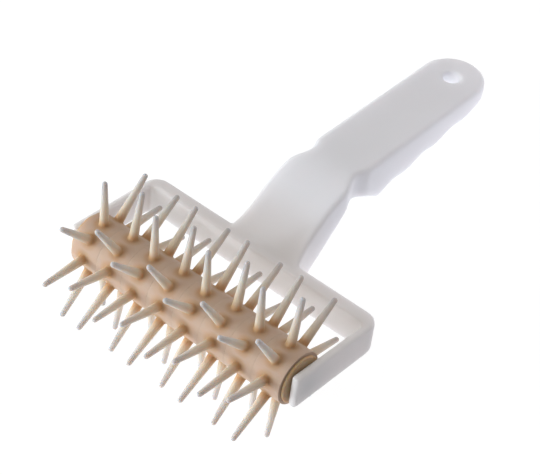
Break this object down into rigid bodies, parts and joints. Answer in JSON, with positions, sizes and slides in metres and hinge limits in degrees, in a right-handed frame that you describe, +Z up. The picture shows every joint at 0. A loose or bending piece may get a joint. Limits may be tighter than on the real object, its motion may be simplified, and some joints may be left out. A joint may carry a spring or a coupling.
{
  "type": "dough docker roller",
  "caption": "Hand-held roller of plastic rings with long tapered spikes, turning freely in a U-shaped fork with a finger-grooved handle and a hanging hole, for pricking dough.",
  "frame": {"origin": "centre of the tool's footprint, on the surface that it lies on", "axes": "+X along the roller's axle, +Y from the roller towards the end of the handle, +Z up"},
  "size_m": [0.12, 0.2066, 0.0637],
  "materials": {
    "frame_plastic": "white translucent moulded plastic, satin to glossy",
    "roller_plastic": "ivory translucent moulded plastic, satin"
  },
  "bodies": {
    "handle": {"handle_frame": "frame_plastic"},
    "roller": {"spike_ring_1": "roller_plastic", "spike_ring_2": "roller_plastic", "spike_ring_3": "roller_plastic", "spike_ring_4": "roller_plastic", "spike_ring_5": "roller_plastic", "spike_ring_6": "roller_plastic", "spike_ring_7": "roller_plastic", "spike_ring_8": "roller_plastic", "axle_shaft": "roller_plastic", "end_washer_left": "roller_plastic", "end_washer_right": "roller_plastic"}
  },
  "joints": [
    {"name": "roller_spin", "type": "hinge", "parent": "handle", "child": "roller", "pos_m": [0, -0.07148, 0.03184], "axis": [1, 0, 0], "continuous": true}
  ]
}
